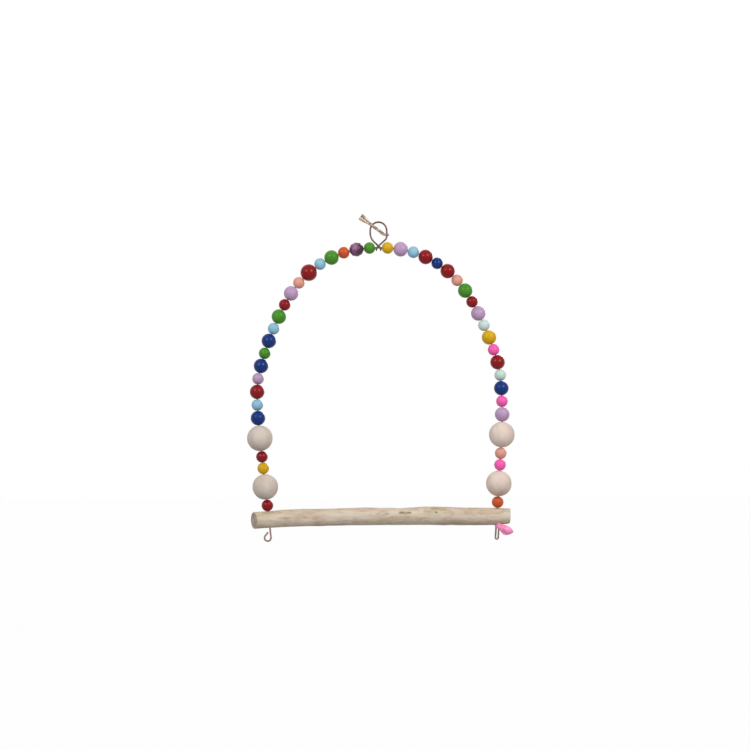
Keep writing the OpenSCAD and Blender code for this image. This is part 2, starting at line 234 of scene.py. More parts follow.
def bead_size(node):
    """(diameter, bore, length between the two rims)"""
    low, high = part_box(node)
    size = round((high[1] - low[1]) / MM, 1)
    if "purple" in node:
        size = 10.0
    bore = BALL_BORE if size > BALL_OVER else BEAD_BORE
    return size, bore, length_at(size, bore / 2 + RIM)


def foot_of(side):
    """Where the wire enters the perch, and the wire's direction there."""
    node = bead_nodes(side)[-1]
    joint = bead_joint(node)
    down = Vector(joint["axis"]).normalized()
    return Vector(joint["pos_m"]) / MM + down * (bead_size(node)[2] / 2 + BEAD_GAP), down


FOOT = {side: foot_of(side) for side in (-1, 1)}


def perch_r(share):
    thick, at = PERCH_THICK
    if share < at:
        end, away = PERCH_D[0], 1 - share / at
    else:
        end, away = PERCH_D[1], (share - at) / (1 - at)
    swell = SWELL * thick / 2 * sind(180 * SWELL_WAVES * share)
    return (end + (thick - end) * (1 + cosd(180 * away)) / 2) / 2 + swell


NOMINAL_LEN = sum(OVERHANG) + FOOT[1][0].x - FOOT[-1][0].x
HOLE_SHARE = {-1: OVERHANG[0] / NOMINAL_LEN, 1: 1 - OVERHANG[1] / NOMINAL_LEN}
HOLE_R = {side: perch_r(HOLE_SHARE[side]) for side in (-1, 1)}
PERCH_AT = {side: FOOT[side][0] + FOOT[side][1] * HOLE_R[side] for side in (-1, 1)}


def arch_line():
    halves = []
    for side in (-1, 1):
        drop, bend, neck = LOOPS[side]
        drop -= bend + WIRE_R
        side_len = drop - neck if side < 0 else drop - CLEAR
        close = 2 * math.degrees(math.atan(bend / side_len)) if side < 0 else 0.0
        back = side_len - (2 * WIRE_R + CLEAR) / sind(close) if side < 0 else side_len
        runs = [("go", TOP_FLAT / 2)] + [("bend", r, t) for r, t in ARCS[side]]
        end = turtle(runs, 1.0)[-1]
        foot = FOOT[side][0]
        straight = (Vector((abs(foot.x), foot.z - SWING_Z)) - end).length
        runs.append(("go", straight + 2 * HOLE_R[side] + drop))
        runs.append(("bend", bend, -180.0 - close))
        runs.append(("go", back))
        halves.append([Vector((side * p.x, 0, SWING_Z + p.y)) for p in turtle(runs, 1.0)])
    return halves[0][:0:-1] + halves[1]


def ring_line():
    """From one hooked end round the eye to the other, each hook round the arch wire's top."""
    halves = []
    hook_r = WIRE_R + RING_R + CLEAR
    eye_z = RING_R - EYE_R
    for side in (-1, 1):
        points = [
            Vector((side * EYE_R * sind(t), 0, eye_z + EYE_R * cosd(t))) for t in range(0, 91, 5)
        ]
        bend = CORNER_R[side]
        corner_out = EYE_R - bend * (1 - cosd(CORNER_TURN))
        slant = (corner_out + HOOK_OFFSET) * cosd(CORNER_TURN) / sind(CORNER_TURN)
        low = SWING_Z + bend * sind(CORNER_TURN) + slant
        points += [Vector((side * EYE_R, 0, lerp(eye_z, low, k / 5))) for k in range(1, 6)]
        for t in range(4, int(CORNER_TURN) + 1, 4):
            out = EYE_R - bend + bend * cosd(t)
            points.append(Vector((side * out, 0, low - bend * sind(t))))
        start = points[-1]
        stop = Vector((-side * HOOK_OFFSET, -side * hook_r, SWING_Z))
        points += [start.lerp(stop, k / 12) for k in range(1, 13)]
        for t in range(10, int(HOOK_TURN) + 1, 10):
            points.append(
                Vector((stop.x, -side * hook_r * cosd(t), SWING_Z - hook_r * sind(t)))
            )
        halves.append(points)
    return smoothed(halves[0][:0:-1] + halves[1], 3)


# Materials

class Look:
    """A procedural material: a Principled shader with helpers for its textures."""

    def __init__(self, name, **values):
        self.material = bpy.data.materials.new(name)
        self.material.use_nodes = True
        self.tree = self.material.node_tree
        self.shader = self.tree.nodes["Principled BSDF"]
        self.place = self.add("ShaderNodeTexCoord").outputs["Object"]
        for key, value in values.items():
            self.shader.inputs[key.replace("_", " ")].default_value = value

    def add(self, kind, inputs=None, **fields):
        node = self.tree.nodes.new(kind)
        for key, value in fields.items():
            setattr(node, key, value)
        for key, value in (inputs or {}).items():
            if isinstance(value, bpy.types.NodeSocket):
                self.tree.links.new(value, node.inputs[key])
            else:
                node.inputs[key].default_value = value
        return node

    def mapped(self, stretch, turn=(0, 0, 0)):
        return self.add(
            "ShaderNodeMapping", {"Vector": self.place, "Scale": stretch, "Rotation": turn}
        ).outputs["Vector"]

    def noise(self, scale, detail=3.0, roughness=0.5, distortion=0.0, place=None):
        return self.add("ShaderNodeTexNoise", {
            "Vector": place or self.place, "Scale": scale, "Detail": detail,
            "Roughness": roughness, "Distortion": distortion,
        }).outputs["Fac"]

    def ramp(self, value, stops):
        node = self.add("ShaderNodeValToRGB", {"Fac": value})
        bar = node.color_ramp
        while len(bar.elements) < len(stops):
            bar.elements.new(0.5)
        for element, (at, color) in zip(bar.elements, stops):
            element.position = at
            element.color = (*color[:3], 1.0)
        return node.outputs["Color"]

    def mix(self, share, a, b, mode="MIX"):
        node = self.add("ShaderNodeMix", data_type="RGBA", blend_type=mode)
        for key, value in ((0, share), (6, a), (7, b)):
            if isinstance(value, bpy.types.NodeSocket):
                self.tree.links.new(value, node.inputs[key])
            elif key == 0:
                node.inputs[key].default_value = value
            else:
                node.inputs[key].default_value = (*value[:3], 1.0)
        return node.outputs[2]

    def span(self, value, low, high):
        return self.add(
            "ShaderNodeMapRange", {"Value": value, "To Min": low, "To Max": high}
        ).outputs["Result"]

    def color(self, socket):
        self.tree.links.new(socket, self.shader.inputs["Base Color"])

    def rough(self, socket):
        self.tree.links.new(socket, self.shader.inputs["Roughness"])

    def bump(self, height, distance, strength=1.0, under=None):
        inputs = {"Height": height, "Distance": distance * MM, "Strength": strength}
        if under:
            inputs["Normal"] = under
        out = self.add("ShaderNodeBump", inputs).outputs["Normal"]
        self.tree.links.new(out, self.shader.inputs["Normal"])
        return out


def linear(red, green, blue):
    """A colour written as a photo editor shows it, 0 to 255, for Blender."""
    return tuple(
        c / 12.92 if c <= 0.04045 else ((c + 0.055) / 1.055) ** 2.4
        for c in (v / 255 for v in (red, green, blue))
    )


def tint(color, share):
    return tuple(min(1.0, c * share) for c in color)


def plastic(name, color, roughness=0.3):
    look = Look("bead_" + name, Specular_IOR_Level=0.18)
    cloud = look.noise(230.0, detail=3.0, roughness=0.55, distortion=0.6)
    speck = look.noise(1300.0, detail=2.0)
    base = look.ramp(cloud, [(0.3, tint(color, 0.9)), (0.5, color), (0.72, tint(color, 1.07))])
    look.color(look.mix(look.span(speck, 0.0, 0.05), base, tint(color, 0.75)))
    look.rough(look.span(cloud, roughness - 0.07, roughness + 0.03))
    wave = look.bump(look.noise(300.0, detail=2.0), 0.02)
    look.bump(speck, 0.001, under=wave)
    return look.material


def cut_glass(name, color):
    look = Look(
        "bead_" + name, Transmission_Weight=0.2, IOR=1.3, Specular_IOR_Level=0.35,
    )
    band = look.noise(130.0, detail=2.0, roughness=0.5, distortion=0.8)
    look.color(look.ramp(band, [
        (0.34, tint(color, 0.35)), (0.46, tint(color, 0.85)),
        (0.56, color), (0.68, tint(color, 1.5)),
    ]))
    look.rough(look.span(band, 0.2, 0.32))
    look.bump(look.noise(300.0, detail=2.0), 0.01)
    return look.material


def turned_wood(name, color):
    look = Look("ball_" + name, Specular_IOR_Level=0.2)
    grain_place = look.mapped((1.0, 1.0, 0.22), (0.25, 0.4, 0.0))
    grain = look.noise(900.0, detail=5.0, roughness=0.62, distortion=0.35, place=grain_place)
    band = look.noise(110.0, detail=3.0, distortion=1.2, place=grain_place)
    blotch = look.noise(60.0, detail=2.0)
    base = look.ramp(band, [
        (0.3, tint(color, 0.9)), (0.5, color), (0.66, tint(color, 1.04)), (0.8, tint(color, 0.94)),
    ])
    pore = look.ramp(grain, [(0.28, (0.66, 0.56, 0.5)), (0.44, (1, 1, 1)), (1.0, (1, 1, 1))])
    base = look.mix(0.4, base, pore, "MULTIPLY")
    worn = look.ramp(blotch, [(0.38, (1, 1, 1)), (0.68, (0.9, 0.83, 0.8))])
    base = look.mix(0.7, base, worn, "MULTIPLY")
    # Balls left of X -0.05 m get a slightly greyer, darker tint than those on the right: painted shade for the
    # side the key light falls on less.
    across = look.add("ShaderNodeSeparateXYZ", {"Vector": look.place}).outputs["X"]
    side = look.add("ShaderNodeMapRange", {
        "Value": across, "From Min": -0.05, "From Max": 0.05,
    }).outputs["Result"]
    painted_left_shade = look.ramp(side, [(0.0, linear(240, 247, 247)), (1.0, (1, 1, 1))])
    look.color(look.mix(1.0, base, painted_left_shade, "MULTIPLY"))
    look.rough(look.span(grain, 0.65, 0.85))
    look.bump(band, 0.05, under=look.bump(grain, 0.03))
    return look.material


# Dark marks on the front of the branch: X, Z, half length, half height, strength
SCARS = (
    (14.2, -196.0, 2.8, 1.2, 0.8), (17.2, -196.4, 3.2, 1.6, 0.6), (19.6, -196.1, 2.1, 1.1, 0.8),
    (37.6, -195.9, 1.5, 0.9, 0.9), (4.2, -196.7, 2.6, 0.9, 0.6), (-1.2, -196.6, 1.6, 0.8, 0.5),
    (-51.0, -198.6, 2.2, 0.7, 0.5), (27.0, -200.4, 2.6, 0.7, 0.5), (-24.0, -201.0, 3.0, 0.6, 0.4),
)


def branch_wood():
    look = Look("branch_bark", Specular_IOR_Level=0.15)
    along = look.mapped((0.08, 1.0, 1.0))
    fibre = look.noise(800.0, detail=6.0, roughness=0.62, distortion=0.25, place=along)
    streak = look.noise(170.0, detail=4.0, roughness=0.55, distortion=0.5, place=along)
    blotch = look.noise(75.0, detail=3.0, distortion=0.6, place=look.mapped((0.35, 1.0, 1.0)))
    mottle = look.noise(260.0, detail=4.0, roughness=0.6, place=look.mapped((0.5, 1.0, 1.0)))
    base = look.ramp(streak, [
        (0.25, linear(196, 178, 157)), (0.42, linear(209, 192, 171)), (0.55, linear(217, 202, 183)),
        (0.72, linear(223, 209, 190)), (0.88, linear(206, 190, 168)),
    ])
    hue = look.ramp(blotch, [
        (0.34, linear(242, 239, 224)), (0.46, (1, 1, 1)), (0.56, (1, 1, 1)),
        (0.7, linear(248, 234, 229)),
    ])
    base = look.mix(0.8, base, hue, "MULTIPLY")
    patch = look.ramp(mottle, [(0.33, linear(206, 190, 170)), (0.52, (1, 1, 1)), (1.0, (1, 1, 1))])
    base = look.mix(0.6, base, patch, "MULTIPLY")
    dark = look.ramp(fibre, [(0.3, linear(170, 150, 132)), (0.45, (1, 1, 1)), (1.0, (1, 1, 1))])
    base = look.mix(0.45, base, dark, "MULTIPLY")
    for x, z, length, height, strength in SCARS:
        centre = look.add("ShaderNodeMapping", {
            "Vector": look.place, "Location": (x * MM, -4.4 * MM, z * MM),
            "Scale": (length * MM, 4.0 * MM, height * MM),
        }, vector_type="TEXTURE").outputs["Vector"]
        ball = look.add("ShaderNodeTexGradient", {"Vector": centre}, gradient_type="SPHERICAL")
        share = look.add("ShaderNodeMath", {
            0: ball.outputs["Fac"], 1: look.span(mottle, -1.4, 3.6),
        }, operation="MULTIPLY", use_clamp=True).outputs["Value"]
        share = look.span(share, 0.0, strength)
        base = look.mix(share, base, linear(118, 102, 74))
    look.color(base)
    look.rough(look.span(fibre, 0.65, 0.9))
    look.bump(streak, 0.12, under=look.bump(fibre, 0.06))
    return look.material


def cut_wood():
    look = Look("branch_cut", Specular_IOR_Level=0.12)
    centre = look.add(
        "ShaderNodeMapping",
        {"Vector": look.place, "Location": [-c * MM for c in PERCH_AT[-1]]},
    ).outputs["Vector"]
    rings = look.add("ShaderNodeTexWave", {
        "Vector": centre, "Scale": 420.0, "Distortion": 3.0, "Detail": 3.0, "Detail Scale": 2.0,
    }, wave_type="RINGS", rings_direction="X").outputs["Fac"]
    saw = look.noise(1400.0, detail=4.0, roughness=0.7)
    cloud = look.noise(240.0, detail=2.0)
    base = look.ramp(rings, [(0.1, linear(176, 158, 144)), (0.6, linear(206, 190, 175))])
    edge = look.ramp(saw, [(0.3, (0.74, 0.68, 0.64)), (0.5, (1, 1, 1))])
    base = look.mix(0.5, base, edge, "MULTIPLY")
    grime = look.ramp(cloud, [(0.4, (0.7, 0.64, 0.62)), (0.6, (1, 1, 1))])
    look.color(look.mix(0.7, base, grime, "MULTIPLY"))
    look.rough(look.span(saw, 0.75, 0.95))
    look.bump(saw, 0.06, under=look.bump(rings, 0.05))
    return look.material


def metal(name, color, roughness, tarnish_and_painted_dark_reflection, wear=0.3, metallic=1.0, turn=0.0, stretch=1.0):
    """Drawn or foil metal; its tarnish, mixed with painted dark reflections and painted highlights, can run in
    streaks, at a turn about Y.
    """
    look = Look(name, Metallic=metallic)
    streaks = look.add("ShaderNodeMapping", {
        "Vector": look.place, "Rotation": (0, math.radians(turn), 0), "Scale": (stretch, 1, 1),
    }, vector_type="TEXTURE").outputs["Vector"]
    cloud = look.noise(350.0, detail=5.0, roughness=0.65, distortion=0.8, place=streaks)
    scratch = look.noise(2600.0, detail=3.0, roughness=0.7)
    # Tone ramp: the dark stop is tarnish and painted dark reflection, the stop 1.6 times brighter is a painted
    # highlight.
    base = look.ramp(cloud, [(0.34, tint(color, tarnish_and_painted_dark_reflection)), (0.5, color), (0.66, tint(color, 1.6))])
    look.color(look.mix(look.span(scratch, 0.0, wear), base, tint(color, 0.6)))
    look.rough(look.span(cloud, roughness - 0.08, roughness + 0.14))
    look.bump(scratch, 0.03 * wear, under=look.bump(cloud, 0.1 * wear))
    return look.material


def satin():
    color = linear(255, 152, 198)
    look = Look(
        "ribbon_satin", Specular_IOR_Level=0.25, Sheen_Weight=0.25, Sheen_Roughness=0.35,
        Sheen_Tint=(1.0, 0.75, 0.86, 1.0),
    )
    waves = []
    for stretch in ((1.0, 0.12, 0.12), (0.12, 1.0, 1.0)):
        waves.append(look.noise(5200.0, detail=1.0, place=look.mapped(stretch)))
    weave = look.add(
        "ShaderNodeMath", {0: waves[0], 1: waves[1]}, operation="MAXIMUM"
    ).outputs["Value"]
    cloud = look.noise(260.0, detail=2.0, distortion=0.4)
    base = look.ramp(cloud, [
        (0.3, linear(236, 124, 172)), (0.5, color), (0.72, linear(255, 176, 212)),
    ])
    look.color(look.mix(look.span(weave, 0.0, 0.06), base, linear(232, 116, 166)))
    look.rough(look.span(weave, 0.45, 0.6))
    look.bump(weave, 0.004)
    return look.material


FINISHES = {
    "red": plastic("red", linear(141, 12, 20), 0.28),
    "yellow": plastic("yellow", linear(214, 168, 12), 0.32),
    "blue": plastic("blue", linear(8, 49, 120), 0.28),
    "sky": plastic("sky", linear(142, 191, 213), 0.36),
    "green": plastic("green", linear(70, 140, 34), 0.32),
    "lilac": plastic("lilac", linear(187, 153, 189), 0.34),
    "peach": plastic("peach", linear(225, 158, 141), 0.38),
    "orange": plastic("orange", linear(205, 84, 42), 0.34),
    "pink": plastic("pink", linear(250, 98, 181), 0.34),
    "mint": plastic("mint", linear(198, 220, 213), 0.38),
    "purple": cut_glass("purple", linear(148, 97, 132)),
    "wood": turned_wood("wood", linear(230, 211, 199)),
}


# Beads and balls

SEAM = 0.06
# Unevenness of a bead: share of its size, lumps over its surface
UNEVEN = {"moulded": (0.004, 1.1), "turned": (0.011, 1.6)}
TURN_STEP = 77.0


def bead_outline(size, bore, length, rows):
    """Closed outline (radius, height): ball, seam at its middle, rounded rims and bore."""
    half = length / 2
    top = math.degrees(math.asin(half / (size / 2)))
    outer = []
    for k in range(rows + 1):
        turn = lerp(-top, top, k / rows)
        outer.append((size / 2 * cosd(turn), size / 2 * sind(turn)))
    if bore == BEAD_BORE:
        middle = rows // 2
        outer[middle:middle + 1] = [
            (size / 2, -2 * SEAM), (size / 2 + SEAM / 2, 0.0), (size / 2, 2 * SEAM),
        ]
    fillet = DRESSED_RIM * 0.6
    inner = []
    for side in (1, -1):
        arc = []
        for k in range(5):
            turn = 90 - 22.5 * k
            arc.append((
                bore / 2 + fillet - fillet * cosd(turn),
                side * (half - fillet + fillet * sind(turn)),
            ))
        if side > 0:
            inner += arc
            inner += [
                (bore / 2, half - fillet - (length - 2 * fillet) * k / 5) for k in range(1, 5)
            ]
        else:
            inner += arc[::-1]
    return outer + inner


def lathe(outline, sides):
    verts = []
    for r, z in outline:
        verts += [(r * cosd(360 * j / sides), r * sind(360 * j / sides), z) for j in range(sides)]
    count = len(outline)
    faces = []
    for k in range(count):
        for j in range(sides):
            a, b = k * sides + j, k * sides + (j + 1) % sides
            step = sides if k < count - 1 else sides - count * sides
            faces.append((a, b, b + step, a + step))
    return verts, faces


def facet_bead(size, bore, length, sides=10):
    """Cut bead: four rows of triangles between two flat ends, with a round bore."""
    half = length / 2
    rim = bore / 2 + DRESSED_RIM
    shoulder = 40.0
    rows = [
        (rim, -half, 0), (size / 2 * cosd(shoulder), -size / 2 * sind(shoulder), 0.5),
        (size / 2, 0.0, 0), (size / 2 * cosd(shoulder), size / 2 * sind(shoulder), 0.5),
        (rim, half, 0),
    ]
    verts = []
    for r, z, shift in rows:
        for j in range(sides):
            turn = 360 * (j + shift) / sides
            verts.append((r * cosd(turn), r * sind(turn), z))
    faces = []
    for k in range(4):
        for j in range(sides):
            after = (j + 1) % sides
            low, high = k * sides, (k + 1) * sides
            if rows[k][2] == 0:
                faces.append((low + j, low + after, high + j))
                faces.append((low + after, high + after, high + j))
            else:
                faces.append((low + j, high + after, high + j))
                faces.append((low + j, low + after, high + after))
    starts = []
    for z in (-half, half):
        starts.append(len(verts))
        for j in range(2 * sides):
            turn = 180 * j / sides
            verts.append((bore / 2 * cosd(turn), bore / 2 * sind(turn), z))
    for start, row in zip(starts, (0, 4)):
        for j in range(sides):
            here, after = row * sides + j, row * sides + (j + 1) % sides
            a, b, c = (start + (2 * j + n) % (2 * sides) for n in range(3))
            faces += [(here, a, b), (here, b, after), (after, b, c)]
    for j in range(2 * sides):
        after = (j + 1) % (2 * sides)
        faces.append((starts[0] + j, starts[0] + after, starts[1] + after, starts[1] + j))
    return verts, faces


def make_bead(node, number):
    size, bore, length = bead_size(node)
    length = length_at(size, bore / 2 + DRESSED_RIM)
    kind = node.split("_")[3]
    joint = bead_joint(node)
    wood = kind == "wood"
    if kind == "purple":
        verts, faces = facet_bead(size, bore, length)
    else:
        verts, faces = lathe(
            bead_outline(size, bore, length, 48 if wood else 30), 72 if wood else 52
        )
    finish = "turned" if wood else "cut" if kind == "purple" else "moulded"
    seed = Vector((number * 3.7, number * 1.3, 5.0))
    shaped = [Vector(v) for v in verts]
    if finish in UNEVEN:
        dent, lumps = UNEVEN[finish]
        for v in shaped:
            if v.xy.length > bore / 2 + 0.01:
                v *= 1 + dent * (noise.noise(v.normalized() * lumps + seed) - 0.25)
    axis = Vector(joint["axis"]).normalized()
    place = (
        Matrix.Translation(Vector(joint["pos_m"]) / MM)
        @ Vector((0, 0, 1)).rotation_difference(axis).to_matrix().to_4x4()
        @ Matrix.Rotation(math.radians(TURN_STEP * number), 4, "Z")
    )
    make_piece(
        node + "_" + finish, [place @ v for v in shaped], faces, node, FINISHES[kind],
        smooth=finish != "cut",
    )


def make_beads():
    number = 0
    for side in (-1, 1):
        for node in bead_nodes(side):
            number += 1
            make_bead(node, number)


# Wires

def make_wires():
    steel = metal("arch_wire_steel", linear(146, 120, 112), 0.38, 0.5)
    dark = metal("ring_wire_steel", linear(108, 86, 80), 0.42, 0.6)
    verts, faces = wire(arch_line(), WIRE_R)
    make_piece("arch_wire_drawn", verts, faces, "arch_wire", steel)
    verts, faces = wire(ring_line(), RING_R)
    make_piece("hanging_ring_bent", verts, faces, "hanging_ring", dark)


# Section of the tie's strip, in millimetres: half width, half height of its core and edges
STRIP_WOUND = (0.5, 0.74, 0.5)
STRIP_FLAT = (TIE_TAIL_W * 0.62, 0.26, 0.12)
STRIP_CRIMP = 0.05


def make_tie():
    """One strip of foil with a wire in it, folded round the ring and wound with itself."""
    # The foil's long streaks along the strip are painted highlights and painted dark reflections, with some
    # tarnish.
    gold = metal(
        "tie_foil", linear(162, 142, 125), 0.36, 0.34, wear=0.1, metallic=0.8,
        turn=TIE_RISE, stretch=7.0,
    )
    fold_r = RING_R + TIE_D / 2 + CLEAR
    half = (TIE_D + TIE_GAP) / 2
    at = Vector((EYE_R, 0, RING_R - EYE_R - RING_SIDE + TIE_SEAT))
    root = Vector((-fold_r - TIE_D / 2, 0, 0))
    side_x = Vector((sind(TIE_RISE), 0, cosd(TIE_RISE)))
    side_y = Vector((
        -sind(TIE_LEAN) * cosd(TIE_RISE), cosd(TIE_LEAN), sind(TIE_LEAN) * sind(TIE_RISE)
    ))
    along = side_x.cross(side_y)
    rows = []
    for side in (-1, 1):
        def out(share):
            turn = 90 * side - 360 * TIE_TURNS * share
            return cosd(turn) * side_x + sind(turn) * side_y

        def flat(share):
            turn = 90 * side - 360 * TIE_TURNS * share
            return side * (sind(turn) * side_x - cosd(turn) * side_y)

        half_rows = []
        for k in range(1, 11):
            turn = side * 9 * k
            half_rows.append((fold_r * Vector((cosd(turn), sind(turn), 0)), Vector((0, 0, 1)), 0.0))
        for k in range(61):
            u = k / 60
            point = root + half * out(u) + TIE_TWIST_LEN * u * along
            half_rows.append((point, flat(u), 0.0))
        for k in range(1, 15):
            u = k / 14
            point = (
                root + (half + TIE_TAIL_LEN * u * sind(TIE_SPREAD)) * out(1)
                + (TIE_TWIST_LEN + TIE_TAIL_LEN * u * cosd(TIE_SPREAD)) * along
            )
            half_rows.append((point, flat(1), u))
        rows.append(half_rows)
    fold = [(Vector((fold_r, 0, 0)), Vector((0, 0, 1)), 0.0)]
    rows = rows[0][::-1] + fold + rows[1]
    points = smoothed([at + row[0] for row in rows], 2)

    def outline(k):
        open_share = smooth_step(rows[k][2] * 1.4)
        width, core, edge = (
            lerp(wound, flat, open_share) for wound, flat in zip(STRIP_WOUND, STRIP_FLAT)
        )
        crimp = STRIP_CRIMP * math.sin(k * 1.9) * open_share
        result = []
        for side in (1, -1):
            for j in range(11):
                u = side * lerp(-1, 1, j / 10)
                ridge = math.exp(-(u / 0.42) ** 2)
                lift = edge * math.sqrt(max(0.0, 1 - u ** 6)) + (core - edge) * ridge
                result.append((side * lift + crimp * math.cos(u * 5), u * width))
        return result

    verts, faces = sweep(points, outline, hints=[row[1] for row in rows])
    make_piece("twist_tie_foil", verts, faces, "twist_tie", gold)


# The perch

# Knots of the branch: place along it, turn round it, height, width
KNOTS = ((47, -70, 0.42, 4.0), (106, 157, 0.3, 6.0), (127, 150, 0.24, 3.0), (131, -120, 0.36, 3.4))
# Wave of the branch's outline along its length: share, top, bottom
PERCH_WAVE = (
    (0.0, 0.1, 0.1), (0.07, 0.2, 0.4), (0.12, 0.55, 0.5), (0.2, 0.65, 0.35), (0.27, 0.25, 0.35),
    (0.37, 0.15, 0.1), (0.43, 0.25, -0.1), (0.52, -0.3, 0.0), (0.58, -0.7, 0.0),
    (0.62, -0.3, 0.0), (0.68, 0.15, -0.1), (0.76, 0.1, -0.35), (0.82, 0.0, -0.8),
    (0.88, 0.1, -0.95), (0.94, 0.1, -0.9), (0.985, -0.3, -0.5), (1.0, -0.8, -0.1),
)
# Rounding of the two cut rims: left, right
CUT_RIMS = {-1: 0.3, 1: 0.5}
PERCH_SIDES = 96
PERCH_STEPS = 190


def branch_bump(x, turn):
    """Height of the bark over the plain taper, in millimetres."""
    around = Vector((cosd(turn), sind(turn), 0))
    low = noise.noise(Vector((x * 0.045, around.x * 1.1, around.y * 1.1)))
    ridge = noise.noise(Vector((x * 0.05 + 9, around.x * 4.2, around.y * 4.2)))
    fine = noise.noise(Vector((x * 0.22 + 31, around.x * 9.0, around.y * 9.0)))
    height = 0.2 * low + 0.1 * ridge + 0.05 * fine
    for at, side, size, width in KNOTS:
        away = (turn - side + 180) % 360 - 180
        near = math.exp(-((x - at) / width) ** 2 - (away / 26) ** 2)
        dimple = math.exp(-((x - at) / (width * 0.35)) ** 2 - (away / 9) ** 2)
        height += size * near - size * 0.9 * dimple
    return height


def bow_at(x, left, right):
    """Rise of the branch's middle line: none where the two wires pass."""
    if x < left:
        return -0.02 * (left - x)
    if x > right:
        return 0.02 * (x - right)
    share = (x - left) / (right - left)
    return PERCH_BOW * sind(180 * share ** 0.9)


def wave_at(share):
    for (a, *low), (b, *high) in zip(PERCH_WAVE, PERCH_WAVE[1:]):
        if share <= b:
            part = smooth_step((share - a) / (b - a))
            return [lerp(u, v, part) for u, v in zip(low, high)]
    return PERCH_WAVE[-1][1:]


def make_perch():
    sides = PERCH_SIDES
    span = PERCH_AT[1] - PERCH_AT[-1]
    tilt = math.atan2(-span.z, span.x)
    length = sum(OVERHANG) + span.length
    shares = (0.0, 0.12, 0.3, 0.6, 1.0)
    steps = [CUT_RIMS[-1] * e for e in shares]
    first, last = CUT_RIMS[-1], length - CUT_RIMS[1]
    steps += [lerp(first, last, k / PERCH_STEPS) for k in range(1, PERCH_STEPS)]
    steps += [length - CUT_RIMS[1] * e for e in shares[::-1]]

    def skin_point(x, turn):
        near, edge = (x, CUT_RIMS[-1]) if x < length / 2 else (length - x, CUT_RIMS[1])
        r = perch_r(x / length)
        if near < edge:
            r -= edge - math.sqrt(edge ** 2 - (edge - near) ** 2)
        r += branch_bump(x, turn) * min(1.0, near / 4 + 0.4)
        y, z = r * cosd(turn), r * sind(turn)
        top, bottom = wave_at(x / length)
        z += lerp(bottom, top, (1 + sind(turn)) / 2)
        cut = (PERCH_D[0] / 2 - y) * math.tan(math.radians(CUT_TURN)) * max(0.0, 1 - x / 40) ** 2
        chip = 0.5 * z / PERCH_D[1] * max(0.0, 1 - (length - x) / 20)
        lip = 0.35 * math.exp(-((length - x) / 1.6) ** 2) * max(0.0, sind(turn)) ** 2
        z += lip + bow_at(x, OVERHANG[0], length - OVERHANG[1])
        return Vector((x + cut + chip, y, z))

    rings = [[skin_point(x, 360 * j / sides) for j in range(sides)] for x in steps]
    verts = [p for ring in rings for p in ring]
    faces = loft(rings, caps=False)[1]
    cut_from = len(faces)
    for ring_at, end in ((0, -1), (len(rings) - 1, 1)):
        rim = rings[ring_at]
        centre = sum(rim, Vector()) / sides
        last_start = ring_at * sides
        for k in range(1, 9):
            share = 1 - k / 9
            start = len(verts)
            for p in rim:
                inner = centre + (p - centre) * share
                inner.x += 0.12 * noise.noise(Vector((inner.y * 0.9, inner.z * 0.9, 3.0 * end)))
                verts.append(inner)
            for j in range(sides):
                after = (j + 1) % sides
                faces.append((last_start + j, last_start + after, start + after, start + j))
            last_start = start
        verts.append(centre)
        for j in range(sides):
            faces.append((last_start + j, last_start + (j + 1) % sides, len(verts) - 1))
    place = (
        Matrix.Translation(PERCH_AT[-1])
        @ Matrix.Rotation(tilt, 4, "Y")
        @ Matrix.Translation((-OVERHANG[0], 0, 0))
    )
    piece = make_piece(
        "perch_branch", [place @ v for v in verts], faces, "perch", branch_wood()
    )
    piece.data.materials.append(cut_wood())
    for face in piece.data.polygons:
        if face.index >= cut_from:
            face.material_index = 1
    drill_perch(piece)


def drill_perch(piece):
    """Cuts the two wire holes through the branch."""
    for side in (-1, 1):
        foot, down = FOOT[side]
        line = [foot + down * d for d in (-3.0, 2 * HOLE_R[side] + 3.0)]
        drill_mesh = bpy.data.meshes.new("drill")
        circle = [
            (PERCH_BORE / 2 * cosd(15 * j), PERCH_BORE / 2 * sind(15 * j)) for j in range(24)
        ]
        verts, faces = sweep(line, lambda k: circle)
        drill_mesh.from_pydata([v * MM for v in verts], [], faces)
        drill = bpy.data.objects.new("drill", drill_mesh)
        bpy.context.scene.collection.objects.link(drill)
        cut = piece.modifiers.new("hole", "BOOLEAN")
        cut.object = drill
        cut.operation = "DIFFERENCE"
        cut.solver = "EXACT"
        bpy.context.view_layer.update()
        graph = bpy.context.evaluated_depsgraph_get()
        drilled = bpy.data.meshes.new_from_object(piece.evaluated_get(graph))
        piece.modifiers.clear()
        piece.data = drilled
        bpy.data.objects.remove(drill)


# The ribbon scrap

# Its turn round the hairpin: rows, degrees where it starts and between rows, half axes
RIBBON_WRAP = 47
RIBBON_WRAP_TURN = (40, 5)
RIBBON_WRAP_AXES = (1.8, 1.1)
# Front of the scrap, left to right: out, depth, top and bottom from the perch, pleats, puff
RIBBON_FRONT = (
    (1.1, -3.9, 0.9, -3.1, 0.12, 0.6), (2.1, -4.4, 0.9, -3.4, 0.14, 0.9),
    (3.0, -3.9, 0.5, -4.6, 0.26, 0.1), (3.7, -3.2, 0.0, -5.8, 0.26, 0.0),
    (5.0, -3.5, -0.1, -6.8, 0.16, 0.9), (7.0, -3.7, -0.6, -7.2, 0.14, 1.4),
    (9.0, -3.4, -1.4, -6.6, 0.12, 0.9), (10.2, -3.0, -2.5, -5.9, 0.08, 0.4),
)
# Its free end: how far its tip stands out, the tip's share of the height, where it starts, over
RIBBON_TIP = 1.1
RIBBON_TIP_AT = 0.65
RIBBON_TIP_RUN = (5.5, 4.1)
RIBBON_WAVES = 1.6
RIBBON_THICK = 0.14
RIBBON_COLUMNS = 40


